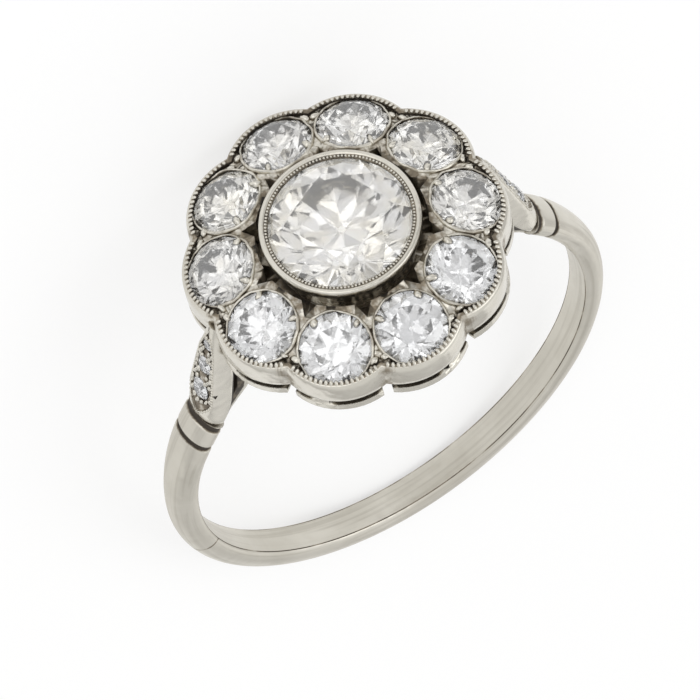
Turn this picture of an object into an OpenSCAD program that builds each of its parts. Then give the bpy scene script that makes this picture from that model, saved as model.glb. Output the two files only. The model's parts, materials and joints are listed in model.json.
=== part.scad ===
// Cluster ring: a round centre stone in a raised collet, ten round stones in a
// scalloped setting, and a tapered shank with three small stones on each shoulder.
// The ring lies on its side. It rests on the edge of its gallery rail and on the back
// of its shank, and z = 0 is the surface that it lies on.

/* [Finger hole] */
// Diameter of the finger hole
bore_d = 17.2; // [15:0.1:21]

/* [Shank] */
// Width of the flat inner face of the shank
inner_w = 1.2; // [0.9:0.05:1.3]
// Width of the shank at the back of the finger
back_w = 1.38; // [1.35:0.01:2.2]
// Thickness of the shank at the back of the finger
back_t = 1.25; // [1:0.05:2]
// Width of the shank where it meets the shoulders
shoulder_w = 1.9; // [1.6:0.05:2.6]
// Thickness of the shank where it meets the shoulders
shoulder_t = 1.03; // [0.9:0.01:1.6]
// Angle above the widest line of the ring at which the shoulder begins
shoulder_angle = 39; // [36:1:42]
// Width of each engraved line
line_w = 0.28; // [0.15:0.01:0.4]
// Depth of each engraved line
line_depth = 0.12; // [0.05:0.01:0.25]
// Angle between the two engraved lines
line_pitch = 6.5; // [4:0.5:9]

/* [Cluster stones] */
// Diameter of each stone of the cluster
stone_d = 2.75; // [2.2:0.05:3.4]
// Space between neighbouring stones of the cluster
stone_space = 0.155; // [0.1:0.005:0.4]
// Angle by which each stone of the cluster leans outwards
stone_lean = 20; // [10:1:28]
// Clearance between a stone and the metal round it
seat_gap = 0.04; // [0.02:0.01:0.08]
// How far the metal stands above a stone's girdle
bury = 0.08; // [0.04:0.01:0.15]

/* [Setting] */
// Metal outside the stones at the middle of each petal
rim_w = 0.22; // [0.16:0.02:0.6]
// Depth of the notch between two petals
notch_depth = 0.45; // [0.2:0.05:0.8]
// Height of the polished band
band_h = 0.85; // [0.6:0.05:1.5]
// Height of the open slot under the band
slot_h = 0.26; // [0.15:0.01:0.5]
// Height of the gallery rail
rail_h = 0.32; // [0.3:0.02:0.9]
// Radial width of the gallery rail
rail_w = 1.05; // [0.8:0.05:1.6]
// Width of the cut in the rail at each notch
rail_cut_w = 0.36; // [0.2:0.02:0.6]
// Width of each soldered post between band and rail
post_w = 0.65; // [0.4:0.05:1]
// Space between the finger hole and the rail
rail_lift = 1.1; // [0.5:0.05:2.5]

/* [Centre stone] */
// Diameter of the centre stone
center_d = 5.65; // [4.8:0.05:6]
// Thickness of the collet's wall at its rim
collet_wall = 0.17; // [0.12:0.01:0.25]
// Height of the collet's rim above the girdles of the cluster stones
collet_rise = 1.2; // [0.8:0.05:1.8]
// Radius of the collet at its foot
collet_foot_r = 2.45; // [2.1:0.05:2.6]
// Width of the moat between the collet and the setting
moat_w = 0.22; // [0.15:0.01:0.3]
// Size of the hollow between two stones beside the moat
hollow_r = 0.42; // [0.3:0.02:0.5]

/* [Shoulders] */
// Width of the stone-set leaf at its widest
leaf_w = 1.2; // [1.1:0.05:1.4]
// Depth of the sunk field of the leaf
leaf_depth = 0.08; // [0.04:0.01:0.15]
// Width of the raised edge of the leaf
leaf_edge = 0.1; // [0.06:0.01:0.2]
// Diameter of the largest shoulder stone
shoulder_stone_d = 0.95; // [0.6:0.05:1]
// Thickness of the inner strap beside the finger
strap_t = 0.35; // [0.3:0.05:0.8]

/* [Hidden] */
fn_round = 96;
fn_small = 48;
eps = 0.01;

// Colours
platinum = [0.78, 0.77, 0.73];
diamond = [0.93, 0.95, 0.97];

// Proportions of a cut stone, as shares of its radius
table_share = 0.57;
star_share = 0.76;
crown_share = 0.30;
girdle_share = 0.04;
pavilion_share = 0.86;
lower_share = 0.34;
culet_share = 0.05;

// Cluster: angles are counted from the right shoulder
stone_count = 10;
stone_step = 360 / stone_count;
function stone_angle(i) = stone_step * (i + 0.5);
stone_r = stone_d / 2;
cluster_r = (stone_d + stone_space) / (2 * sin(stone_step / 2));
petal_reach = cluster_r + stone_r * cos(stone_lean) + rim_w;
notch_reach = petal_reach - notch_depth;
// Each petal is an arc through its own tip and the notches beside it
notch_x = notch_reach * cos(stone_step / 2);
notch_y = notch_reach * sin(stone_step / 2);
petal_center = (petal_reach * petal_reach - notch_x * notch_x - notch_y * notch_y)
    / (2 * (petal_reach - notch_x));
petal_r = petal_reach - petal_center;

// Heights above the centre of the finger hole
bore_r = bore_d / 2;
rail_z = bore_r + rail_lift;
slot_z = rail_z + rail_h;
plate_z = slot_z + slot_h;
rim_z = plate_z + band_h;
girdle_z = rim_z + (petal_reach - cluster_r) * tan(stone_lean) - bury / cos(stone_lean);
collet_z = girdle_z + collet_rise;

// Centre stone and collet
center_r = center_d / 2;
collet_r = center_r + seat_gap + collet_wall;
lip_h = 0.3;
lip_w = 0.13;
center_girdle_z = collet_z - lip_h;
plate_inner_r = collet_r + moat_w;
web_h = 0.35;

// Angles of the soldered posts between band and rail
post_angles = [18, 54, 90, 126, 162, 192, 228, 278, 312, 348];
post_depth = 0.03;

// Shoulders, as points in the plane across the finger hole: x outwards, z upwards
function along(angle) = [cos(angle), sin(angle)];
lap = 0.2;
head_out = 0.26;
head_drop = 0.2;
leaf_foot = along(shoulder_angle) * (bore_r + shoulder_t);
leaf_head = [notch_reach + head_out, rim_z - head_drop];
leaf_len = norm(leaf_head - leaf_foot);
leaf_tilt = atan2(leaf_foot[0] - leaf_head[0], leaf_head[1] - leaf_foot[1]);
leaf_start = 0.1;
leaf_widest = 1.45;
shoulder_shares = [1, 0.86, 0.62];
shoulder_stone_space = 0.55;
shank_lap = 4;
function shoulder_d(i) = shoulder_stone_d * shoulder_shares[i];
function shoulder_s(i) = i == 0 ? leaf_widest
    : shoulder_s(i - 1) + (shoulder_d(i - 1) + shoulder_d(i)) / 2 + shoulder_stone_space;

// Way that the ring lies: the rail's edge and the back of the shank touch the surface
back_a = back_w / 2;
back_b = oval_b(back_w, back_t);
back_z = bore_r + back_t - back_b;
function lie_tan(n) = n == 0 ? (petal_reach - back_a) / (rail_z + back_z)
    : (petal_reach - sqrt(pow(back_a, 2) + pow(back_b * lie_tan(n - 1), 2))) / (rail_z + back_z);
lie = atan(lie_tan(8));
lift = petal_reach * cos(lie) - rail_z * sin(lie);
// The front is the edge of the centre stone's table or of the collet
table_z = center_girdle_z + center_r * (girdle_share / 2 + crown_share);
front = max(table_z * cos(lie) + table_share * center_r * sin(lie),
    collet_z * cos(lie) + collet_r * sin(lie));
back = back_z * cos(lie) + sqrt(pow(back_b * cos(lie), 2) + pow(back_a * sin(lie), 2));

$fn = fn_round;

// Turns the upright ring onto its side, with the cluster facing -Y
module lying() {
    translate([0, (front - back) / 2, lift]) rotate([90 - lie, 0, 0]) rotate([0, 0, 180]) children();
}

// Width and thickness of the shank at an angle above the ring's widest line:
// it widens above that line, and thins below it
function ease(t) = let(u = min(1, max(0, t))) u * u * (3 - 2 * u);
function width_at(a) = back_w + (shoulder_w - back_w) * ease(a / (shoulder_angle - line_pitch));
function thick_at(a) = back_t + (shoulder_t - back_t) * ease((a + 90) / 90);

// Section of the shank as [across, out] points: an oval that the finger hole cuts flat
oval_count = 18;
function oval_b(w, t) = t / (1 + sqrt(1 - pow(inner_w / w, 2)));
function oval_section(w, t) = let(b = oval_b(w, t))
    [for (k = [0 : oval_count - 1]) let(p = 360 * (k + 0.5) / oval_count)
        [w / 2 * cos(p), bore_r + t - b + b * sin(p)]];

// Shank from one shoulder round the back of the finger to the other
shank_steps = 56;
module shank() {
    count = oval_count;
    top = shoulder_angle + shank_lap;
    sweep = 180 + 2 * top;
    points = [for (s = [0 : shank_steps]) let(a = top - sweep * s / shank_steps,
            up = a < -90 ? -180 - a : a)
        for (p = oval_section(width_at(up), thick_at(up))) [p[1] * cos(a), p[0], p[1] * sin(a)]];
    sides = [for (s = [0 : shank_steps - 1]) for (k = [0 : count - 1]) let(n = (k + 1) % count)
        [s * count + k, (s + 1) * count + k, (s + 1) * count + n, s * count + n]];
    caps = [[for (k = [0 : count - 1]) k],
        [for (k = [count - 1 : -1 : 0]) shank_steps * count + k]];
    polyhedron(points, concat(sides, caps), convexity = 6);
}

// Cut diamond with its girdle on z = 0 and its table upwards
module cut_stone(r) {
    g = girdle_share / 2;
    function spot(share, angle, z) = [r * share * cos(angle), r * share * sin(angle), r * z];
    function crown_z(share) = g + crown_share * (1 - share * cos(22.5)) / (1 - table_share);
    function pavilion_z(share) = -g - pavilion_share * (1 - share * cos(22.5)) / (1 - culet_share);
    table = [for (k = [0 : 7]) spot(table_share, 45 * k, g + crown_share)];
    star = [for (k = [0 : 7]) spot(star_share, 45 * k + 22.5, crown_z(star_share))];
    upper = [for (k = [0 : 15]) spot(1, 22.5 * k, g)];
    lower = [for (k = [0 : 15]) spot(1, 22.5 * k, -g)];
    belly = [for (k = [0 : 7]) spot(lower_share, 45 * k + 22.5, pavilion_z(lower_share))];
    culet = [for (k = [0 : 7]) spot(culet_share, 45 * k, -g - pavilion_share)];
    t = 0;
    s = 8;
    u = 16;
    l = 32;
    b = 48;
    c = 56;
    faces = concat(
        [[for (k = [7 : -1 : 0]) t + k]],
        [for (k = [0 : 7]) [t + k, t + (k + 1) % 8, s + k]],
        [for (k = [0 : 7]) [t + k, s + k, u + 2 * k, s + (k + 7) % 8]],
        [for (k = [0 : 7]) [s + k, u + 2 * k + 1, u + 2 * k]],
        [for (k = [0 : 7]) [s + k, u + (2 * k + 2) % 16, u + 2 * k + 1]],
        [for (k = [0 : 15]) [u + k, u + (k + 1) % 16, l + (k + 1) % 16, l + k]],
        [for (k = [0 : 7]) [b + k, l + 2 * k, l + 2 * k + 1]],
        [for (k = [0 : 7]) [b + k, l + 2 * k + 1, l + (2 * k + 2) % 16]],
        [for (k = [0 : 7]) [c + k, b + (k + 7) % 8, l + 2 * k, b + k]],
        [for (k = [0 : 7]) [c + k, b + k, c + (k + 1) % 8]],
        [[for (k = [0 : 7]) c + k]]);
    polyhedron(concat(table, star, upper, lower, belly, culet), faces, convexity = 2);
}

// Hole that a cut stone of radius r sits in, drilled open at the back
drill_share = 0.55;
module seat(r, above, below) {
    z = -r * girdle_share / 2 - seat_gap / 2;
    wide = r + seat_gap;
    narrow = r * drill_share;
    slope = pavilion_share / (1 - culet_share);
    depth = (wide - narrow) * slope;
    translate([0, 0, z]) cylinder(h = above - z, r = wide, $fn = fn_small);
    translate([0, 0, z - depth]) cylinder(h = depth + eps, r1 = narrow, r2 = wide + eps / slope, $fn = fn_small);
    translate([0, 0, z - depth - below]) cylinder(h = below + eps, r = narrow, $fn = fn_small);
}

module at_cluster_stone(i) {
    rotate([0, 0, stone_angle(i)]) translate([cluster_r, 0, girdle_z]) rotate([0, stone_lean, 0]) children();
}

// Outline of the setting: ten petals round a disc, drawn in by an inset
module petals(inset = 0) {
    circle(r = petal_center);
    for (i = [0 : stone_count - 1]) rotate(stone_angle(i)) translate([petal_center, 0]) circle(r = petal_r - inset);
}

// Cone that gives the setting its domed top, raised by a small height
module dome(raise) {
    h = 4;
    wide = petal_reach + (rim_z - rail_z) / tan(stone_lean);
    translate([0, 0, rail_z + raise]) cylinder(h = wide * tan(stone_lean), r1 = wide, r2 = 0);
}

// Domed plate that holds the cluster stones, with a raised edge round its petals
edge_w = 0.14;
edge_h = 0.25;
module setting() {
    difference() {
        union() {
            intersection() {
                translate([0, 0, plate_z]) linear_extrude(collet_z - plate_z) petals();
                dome(0);
            }
            intersection() {
                translate([0, 0, plate_z]) linear_extrude(collet_z - plate_z) difference() {
                    petals();
                    petals(edge_w);
                }
                dome(edge_h);
            }
        }
        translate([0, 0, plate_z + web_h]) cylinder(h = collet_z, r = plate_inner_r);
        translate([0, 0, plate_z - 1]) cylinder(h = 2, r = collet_foot_r - 0.3);
        for (i = [0 : stone_count - 1]) {
            at_cluster_stone(i) seat(stone_r, 1.5, 2);
            rotate([0, 0, stone_step * i]) translate([plate_inner_r + 0.1, 0, plate_z + web_h])
                cylinder(h = collet_z, r = hollow_r, $fn = 3);
        }
    }
}

// Collet of the centre stone, turned over the stone's girdle at its rim
module collet() {
    g = center_r * girdle_share / 2 + seat_gap / 2;
    wide = center_r + seat_gap;
    ledge = 0.25;
    slope = pavilion_share / (1 - culet_share);
    mouth = center_r - lip_w;
    crown_slope = crown_share / (1 - table_share);
    foot_wall = 0.3;
    rim_h = 0.4;
    rotate_extrude() polygon([
        [collet_foot_r, plate_z],
        [collet_r - 0.04, collet_z - rim_h - 0.05],
        [collet_r, collet_z - rim_h],
        [collet_r, collet_z - 0.06],
        [collet_r - 0.06, collet_z],
        [mouth, collet_z],
        [mouth, center_girdle_z + g + (wide - mouth) * crown_slope],
        [wide, center_girdle_z + g],
        [wide, center_girdle_z - g],
        [wide - ledge, center_girdle_z - g - ledge * slope],
        [collet_foot_r - foot_wall, plate_z + web_h],
        [collet_foot_r - foot_wall, plate_z]
    ]);
}

// Gallery rail under the setting, cut at each notch that has no shoulder
module rail() {
    inner = notch_reach - rail_w;
    difference() {
        translate([0, 0, rail_z]) linear_extrude(rail_h) difference() {
            petals();
            circle(r = inner);
        }
        for (i = [1 : stone_count - 1]) if (i != stone_count / 2)
            rotate([0, 0, stone_step * i]) translate([inner + rail_w / 2, -rail_cut_w / 2, rail_z - 1])
                cube([rail_w, rail_cut_w, rail_h + 2]);
    }
    for (a = post_angles) intersection() {
        translate([0, 0, slot_z - eps]) linear_extrude(slot_h + 2 * eps) difference() {
            petals(post_depth);
            circle(r = inner + rail_w / 2);
        }
        rotate([0, 0, a]) translate([0, -post_w / 2, 0]) cube([petal_reach, post_w, collet_z]);
    }
}

// Places children on the leaf: x along it from its foot, y across, z outwards
module on_leaf(side) {
    rotate([0, 0, side > 0 ? 0 : 180]) translate([leaf_foot[0], 0, leaf_foot[1]])
        rotate([0, -90 - leaf_tilt, 0]) mirror([0, 0, 1]) children();
}

// Leaf outline, widest at its largest stone and pointed at both ends
leaf_steps = 8;
module leaf_outline(inset) {
    half_w = leaf_w / 2 - inset;
    function edge(l, u) = let(arc_r = (l * l + half_w * half_w) / (2 * half_w))
        sqrt(arc_r * arc_r - u * u) - arc_r + half_w;
    low = leaf_widest - leaf_start - inset;
    high = leaf_len - leaf_widest - inset;
    half = concat(
        [for (k = [0 : leaf_steps]) let(u = low * (1 - k / leaf_steps)) [leaf_widest - u, edge(low, u)]],
        [for (k = [1 : leaf_steps]) let(u = high * k / leaf_steps) [leaf_widest + u, edge(high, u)]]);
    polygon(concat(half, [for (k = [2 * leaf_steps - 1 : -1 : 1]) [half[k][0], -half[k][1]]]));
}

// Upper branch of the shoulder, from the engraved line to the head
branch_lap = 0.9;
branch_dome_r = 1;
branch_inset = 0.03;
branch_tip_w = 0.7;
branch_foot_t = 0.4;
branch_hollow_out = 0.22;
branch_thick_out = 0.42;
branch_thick_h = 0.8;
module leaf_branch(side) {
    half = shoulder_w / 2 - branch_inset;
    tip = branch_tip_w / 2;
    dome_drop = sqrt(pow(branch_dome_r, 2) - pow(leaf_w / 2, 2));
    reach = bore_r + shoulder_t;
    difference() {
        intersection() {
            rotate([0, 0, side > 0 ? 0 : 180]) rotate([90, 0, 0]) translate([0, 0, -shoulder_w])
                linear_extrude(2 * shoulder_w) polygon([
                    along(shoulder_angle - branch_lap) * (bore_r + branch_foot_t),
                    along(shoulder_angle - branch_lap) * (bore_r + shoulder_t - lap / 2),
                    leaf_foot,
                    leaf_head,
                    [notch_reach - lap, leaf_head[1]],
                    [notch_reach - lap, plate_z + lap],
                    [notch_reach + branch_hollow_out, plate_z - lap],
                    [notch_reach + branch_thick_out, leaf_foot[1] + branch_thick_h],
                    along(shoulder_angle + shank_lap - branch_lap) * (bore_r + branch_foot_t)
                ]);
            on_leaf(side) translate([-shoulder_w, 0, -dome_drop]) rotate([0, 90, 0])
                cylinder(h = leaf_len + 2 * shoulder_w, r = branch_dome_r);
            rotate([90, 0, 90]) translate([0, 0, -reach]) linear_extrude(2 * reach) polygon([
                [-half, 0], [half, 0], [half, leaf_foot[1]], [tip, leaf_head[1] + lap],
                [-tip, leaf_head[1] + lap], [-half, leaf_foot[1]]]);
        }
        on_leaf(side) translate([0, 0, -leaf_depth]) linear_extrude(1) leaf_outline(leaf_edge);
        for (i = [0 : 2]) on_leaf(side) translate([shoulder_s(i), 0, -bury]) seat(shoulder_d(i) / 2, 1, 1);
    }
}

// Lower branch of the shoulder, along the finger hole and up to the rail
strap_w = inner_w - 0.02;
strap_angle = 12;
module strap(side) {
    start = shoulder_angle - branch_lap / 2;
    low = [for (k = [0 : 3]) along(start + strap_angle * k / 6) * (bore_r + strap_t)];
    rotate([0, 0, side > 0 ? 0 : 180]) rotate([90, 0, 0]) translate([0, 0, -strap_w / 2])
        linear_extrude(strap_w) polygon(concat(
            [along(start) * (bore_r - 2 * lap)],
            low,
            [along(shoulder_angle + strap_angle) * (bore_r + strap_t + lap),
                [notch_reach - strap_t, rail_z + rail_h / 3],
                [notch_reach - rail_w + lap / 2, rail_z + rail_h / 3],
                along(shoulder_angle + strap_angle) * (bore_r - 2 * lap)]));
}

// Engraved line across the dome of the shank
module engraved_line(side, angle) {
    w = width_at(angle);
    t = thick_at(angle);
    rotate([0, 0, side > 0 ? 0 : 180]) rotate([0, -angle, 0]) difference() {
        translate([bore_r + lap, -w, -line_w / 2]) cube([2 * back_t, 2 * w, line_w]);
        translate([0, 0, -line_w]) rotate([0, 0, -90]) linear_extrude(2 * line_w)
            polygon(oval_section(w - 2 * line_depth, t - line_depth));
    }
}

module finger_hole() {
    rotate([90, 0, 0]) translate([0, 0, -shoulder_w]) cylinder(h = 2 * shoulder_w, r = bore_r);
}

module ring_mount() {
    color(platinum) lying() {
        difference() {
            shank();
            finger_hole();
            for (side = [-1, 1]) for (k = [0, 1]) engraved_line(side, shoulder_angle - 1 - line_pitch * k);
        }
        setting();
        collet();
        rail();
        for (side = [-1, 1]) {
            leaf_branch(side);
            difference() {
                strap(side);
                finger_hole();
            }
        }
    }
}

module center_stone() {
    color(diamond) lying() translate([0, 0, center_girdle_z]) cut_stone(center_r);
}

module cluster_stone(i) {
    color(diamond) lying() at_cluster_stone(i) cut_stone(stone_r);
}

module shoulder_stone(side, i) {
    color(diamond) lying() on_leaf(side) translate([shoulder_s(i), 0, -bury]) cut_stone(shoulder_d(i) / 2);
}

ring_mount();
center_stone();
for (i = [0 : stone_count - 1])
    cluster_stone(i);
for (i = [0 : 2])
    shoulder_stone(-1, i);
for (i = [0 : 2])
    shoulder_stone(1, i);
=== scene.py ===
import bpy
import json
import math
import random
from mathutils import Matrix, Vector, noise


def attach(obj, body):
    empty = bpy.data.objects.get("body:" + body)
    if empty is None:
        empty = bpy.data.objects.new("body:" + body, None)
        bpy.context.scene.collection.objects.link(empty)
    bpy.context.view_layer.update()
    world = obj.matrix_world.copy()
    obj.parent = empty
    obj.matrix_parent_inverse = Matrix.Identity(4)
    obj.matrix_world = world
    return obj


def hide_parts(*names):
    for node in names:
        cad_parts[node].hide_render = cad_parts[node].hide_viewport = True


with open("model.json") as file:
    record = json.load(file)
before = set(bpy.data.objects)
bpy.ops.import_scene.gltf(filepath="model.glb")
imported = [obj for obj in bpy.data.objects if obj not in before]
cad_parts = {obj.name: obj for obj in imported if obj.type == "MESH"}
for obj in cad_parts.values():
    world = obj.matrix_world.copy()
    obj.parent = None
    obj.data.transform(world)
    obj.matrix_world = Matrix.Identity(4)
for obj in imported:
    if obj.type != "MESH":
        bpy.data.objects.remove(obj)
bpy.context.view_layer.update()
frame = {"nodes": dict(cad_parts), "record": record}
print("frame loaded:", len(frame["nodes"]), "nodes")

# The ring's own upright frame, in millimetres: x to the right shoulder, z up through the head,
# y through the finger hole. It is laid on its side by the finger hole's place and axis.
millimetre = 0.001
hole = [m for m in frame["record"]["mounts"] if m["name"] == "finger_hole"][0]
holeAxis = Vector(hole["axis"]).normalized()
headUp = Vector((0, -holeAxis.z, holeAxis.y))
layDown = Matrix((
    (-1, 0, 0, hole["pos_m"][0]),
    (0, -holeAxis.y, headUp.y, hole["pos_m"][1]),
    (0, -holeAxis.z, headUp.z, hole["pos_m"][2]),
    (0, 0, 0, 1))) @ Matrix.Scale(millimetre, 4)
standUp = layDown.inverted()

# sizes that several pieces share
bore = {"radius": 8.6, "innerWidth": 1.2}
head = {
    "stones": 10,
    "petalCentre": 3.681, "petalRadius": 2.532, "petalReach": 6.212,
    "lean": 20, "bandFoot": 10.28, "rim": 11.13,
    "clusterRadius": 4.70, "girdle": 11.595, "stoneRadius": 1.375,
}
petalStep = 2 * math.pi / head["stones"]
leanOut = Matrix.Rotation(math.radians(head["lean"]), 4, "Y")


def deselectAll():
    for thing in bpy.context.selected_objects:
        thing.select_set(False)


def pickOnly(piece):
    deselectAll()
    piece.select_set(True)
    bpy.context.view_layer.objects.active = piece


def throwAway(piece):
    pickOnly(piece)
    bpy.ops.object.delete()


def nameAs(piece, name):
    piece.name = name
    piece.data.name = name


# starts editing a piece with all of it selected
def openMesh(piece):
    pickOnly(piece)
    bpy.ops.object.mode_set(mode="EDIT")
    bpy.ops.mesh.select_all(action="SELECT")


def closeMesh():
    bpy.ops.object.mode_set(mode="OBJECT")


# puts a piece's place, turn and scale into its mesh
def fixPlace(piece):
    pickOnly(piece)
    bpy.ops.object.transform_apply(location=True, rotation=True, scale=True)


def joinAll(pieces, name):
    pickOnly(pieces[0])
    for piece in pieces:
        piece.select_set(True)
    bpy.ops.object.join()
    nameAs(pieces[0], name)
    return pieces[0]


# another piece of the same shape, with its own mesh, moved by a matrix
def copyPiece(piece, move):
    pickOnly(piece)
    bpy.ops.object.duplicate(linked=False)
    twin = bpy.context.object
    twin.matrix_world = move @ piece.matrix_world
    return twin


# copies a piece round the head's axis, count times
def repeatRound(piece, count):
    fixPlace(piece)
    deselectAll()
    bpy.ops.object.empty_add(rotation=(0, 0, 2 * math.pi / count))
    turner = bpy.context.object
    bpy.context.view_layer.update()
    pickOnly(piece)
    array = piece.modifiers.new("round", "ARRAY")
    array.count = count
    array.use_relative_offset = False
    array.use_object_offset = True
    array.offset_object = turner
    bpy.ops.object.modifier_apply(modifier=array.name)
    throwAway(turner)


# cuts one shape out of a piece
def cutAway(piece, cutter):
    pickOnly(piece)
    cut = piece.modifiers.new("cut", "BOOLEAN")
    cut.operation = "DIFFERENCE"
    cut.object = cutter
    cut.solver = "EXACT"
    bpy.ops.object.modifier_apply(modifier=cut.name)
    throwAway(cutter)


# a closed loop of edges that goes through the given points
def addLoop(points):
    deselectAll()
    bpy.ops.mesh.primitive_circle_add(vertices=len(points), radius=1)
    loop = bpy.context.object
    for vertex, point in zip(loop.data.vertices, points):
        vertex.co = point
    return loop


# turns a loop about an axis into a solid sweep; the operator itself turns clockwise
def spinLoop(loop, steps, angle, centre=(0, 0, 0), axis=(0, 0, 1)):
    openMesh(loop)
    bpy.ops.mesh.spin(steps=steps, angle=-angle, center=centre, axis=axis)
    bpy.ops.mesh.select_all(action="SELECT")
    bpy.ops.mesh.remove_doubles(threshold=0.0005)
    bpy.ops.mesh.select_all(action="SELECT")
    bpy.ops.mesh.fill_holes(sides=0)
    closeMesh()


# a tube through equal loops of points, closed at both ends
def addTube(name, loops):
    deselectAll()
    rows, columns = len(loops), len(loops[0])
    bpy.ops.mesh.primitive_grid_add(x_subdivisions=columns, y_subdivisions=rows - 1, size=1)
    tube = bpy.context.object
    nameAs(tube, name)
    for index, vertex in enumerate(tube.data.vertices):
        vertex.co = loops[index // (columns + 1)][(index % (columns + 1)) % columns]
    openMesh(tube)
    bpy.ops.mesh.remove_doubles(threshold=0.0001)
    bpy.ops.mesh.select_all(action="SELECT")
    bpy.ops.mesh.fill_holes(sides=0)
    bpy.ops.mesh.select_all(action="SELECT")
    bpy.ops.mesh.normals_make_consistent(inside=False)
    closeMesh()
    return tube


# one small grain of metal, flattened under its middle so that it sits down
def makeGrain(size):
    deselectAll()
    bpy.ops.mesh.primitive_uv_sphere_add(segments=10, ring_count=6, radius=1)
    grain = bpy.context.object
    for vertex in grain.data.vertices:
        vertex.co.z = max(vertex.co.z, -0.55)
        vertex.co = Vector((vertex.co.x * size[0], vertex.co.y * size[1], vertex.co.z * size[2]))
    return grain


# a grain's size, varied by luck
def luckySize(luck, size):
    return Matrix.Diagonal((*[part * luck.uniform(0.85, 1.2) for part in size], 1))


# pushes each point of a grain in or out by luck
def roughen(grain, luck, wobble):
    for vertex in grain.data.vertices:
        vertex.co *= 1 + luck.uniform(-wobble, wobble)


# writes how much dirt and painted shade each face of a piece has
def paintDirtAndShade(piece, amountAt):
    dirtAndShade = piece.data.attributes.new("dirtAndShade", "FLOAT", "FACE")
    for face in piece.data.polygons:
        dirtAndShade.data[face.index].value = amountAt(face.center, face.normal)


# finishes a piece that was shaped upright: lays it down, smooths it and gives it its finish
def settle(piece, material, smoothAngle=None):
    piece.matrix_world = layDown @ piece.matrix_world
    bpy.context.view_layer.update()
    fixPlace(piece)
    openMesh(piece)
    bpy.ops.mesh.normals_make_consistent(inside=False)
    closeMesh()
    if smoothAngle is None:
        bpy.ops.object.shade_smooth()
    else:
        bpy.ops.object.shade_smooth_by_angle(angle=math.radians(smoothAngle))
    piece.data.materials.clear()
    piece.data.materials.append(material)
    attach(piece, "root")


def easeLine(t):
    return min(1, max(0, t))


def easeIn(t):
    u = easeLine(t)
    return u * u * (3 - 2 * u)


# value at a place in a table of places and values
def readTable(table, place):
    for (a, low), (b, high) in zip(table, table[1:]):
        if place <= b:
            return low + (high - low) * easeLine((place - a) / (b - a))
    return table[-1][1]


# materials: each helper gives the socket that the next one takes
def newMaterial(name):
    material = bpy.data.materials.new(name)
    material.use_nodes = True
    tree = material.node_tree
    tree.nodes.clear()
    output = tree.nodes.new("ShaderNodeOutputMaterial")
    shader = tree.nodes.new("ShaderNodeBsdfPrincipled")
    tree.links.new(shader.outputs["BSDF"], output.inputs["Surface"])
    return material, tree, shader, tree.nodes.new("ShaderNodeTexCoord").outputs["Object"]


def addNoise(tree, place, scale, detail=3, rough=0.55):
    cloud = tree.nodes.new("ShaderNodeTexNoise")
    cloud.inputs["Scale"].default_value = scale
    cloud.inputs["Detail"].default_value = detail
    cloud.inputs["Roughness"].default_value = rough
    tree.links.new(place, cloud.inputs["Vector"])
    return cloud.outputs["Fac"]


def addRamp(tree, factor, stops):
    stops = list(stops)
    ramp = tree.nodes.new("ShaderNodeValToRGB")
    while len(ramp.color_ramp.elements) < len(stops):
        ramp.color_ramp.elements.new(0.5)
    for element, (place, colour) in zip(ramp.color_ramp.elements, stops):
        element.position = place
        element.color = (*colour, 1)
    tree.links.new(factor, ramp.inputs["Fac"])
    return ramp.outputs["Color"]


# grey ramp from one place and shade to another
def addFade(tree, factor, start, end, startShade, endShade):
    return addRamp(tree, factor, [(start, (startShade,) * 3), (end, (endShade,) * 3)])


def addMath(tree, operation, *values, clamp=False):
    node = tree.nodes.new("ShaderNodeMath")
    node.operation = operation
    node.use_clamp = clamp
    for socket, value in zip(node.inputs, values):
        if isinstance(value, (int, float)):
            socket.default_value = value
        else:
            tree.links.new(value, socket)
    return node.outputs["Value"]


def addVectorMath(tree, operation, *values):
    node = tree.nodes.new("ShaderNodeVectorMath")
    node.operation = operation
    for socket, value in zip(node.inputs, values):
        if isinstance(value, (tuple, Vector)):
            socket.default_value = value
        else:
            tree.links.new(value, socket)
    return node.outputs["Value" if operation in ("DOT_PRODUCT", "LENGTH") else "Vector"]


# maps a range, given as from and to, onto another
def addRange(tree, value, *limits):
    node = tree.nodes.new("ShaderNodeMapRange")
    tree.links.new(value, node.inputs["Value"])
    for socket, limit in zip(("From Min", "From Max", "To Min", "To Max"), limits):
        node.inputs[socket].default_value = limit
    return node.outputs["Result"]


def addMix(tree, factor, first, second):
    mix = tree.nodes.new("ShaderNodeMix")
    mix.data_type = "RGBA"
    tree.links.new(factor, mix.inputs["Factor"])
    for socket, value in ((mix.inputs["A"], first), (mix.inputs["B"], second)):
        if isinstance(value, tuple):
            socket.default_value = (*value, 1)
        else:
            tree.links.new(value, socket)
    return mix.outputs["Result"]


# a number or a vector that the mesh itself carries
def readMesh(tree, name, output="Fac"):
    carried = tree.nodes.new("ShaderNodeAttribute")
    carried.attribute_name = name
    return carried.outputs[output]


def addBump(tree, height, normal, strength, distance):
    bump = tree.nodes.new("ShaderNodeBump")
    bump.inputs["Strength"].default_value = strength
    bump.inputs["Distance"].default_value = distance
    tree.links.new(height, bump.inputs["Height"])
    tree.links.new(normal, bump.inputs["Normal"])
    return bump.outputs["Normal"]


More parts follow.
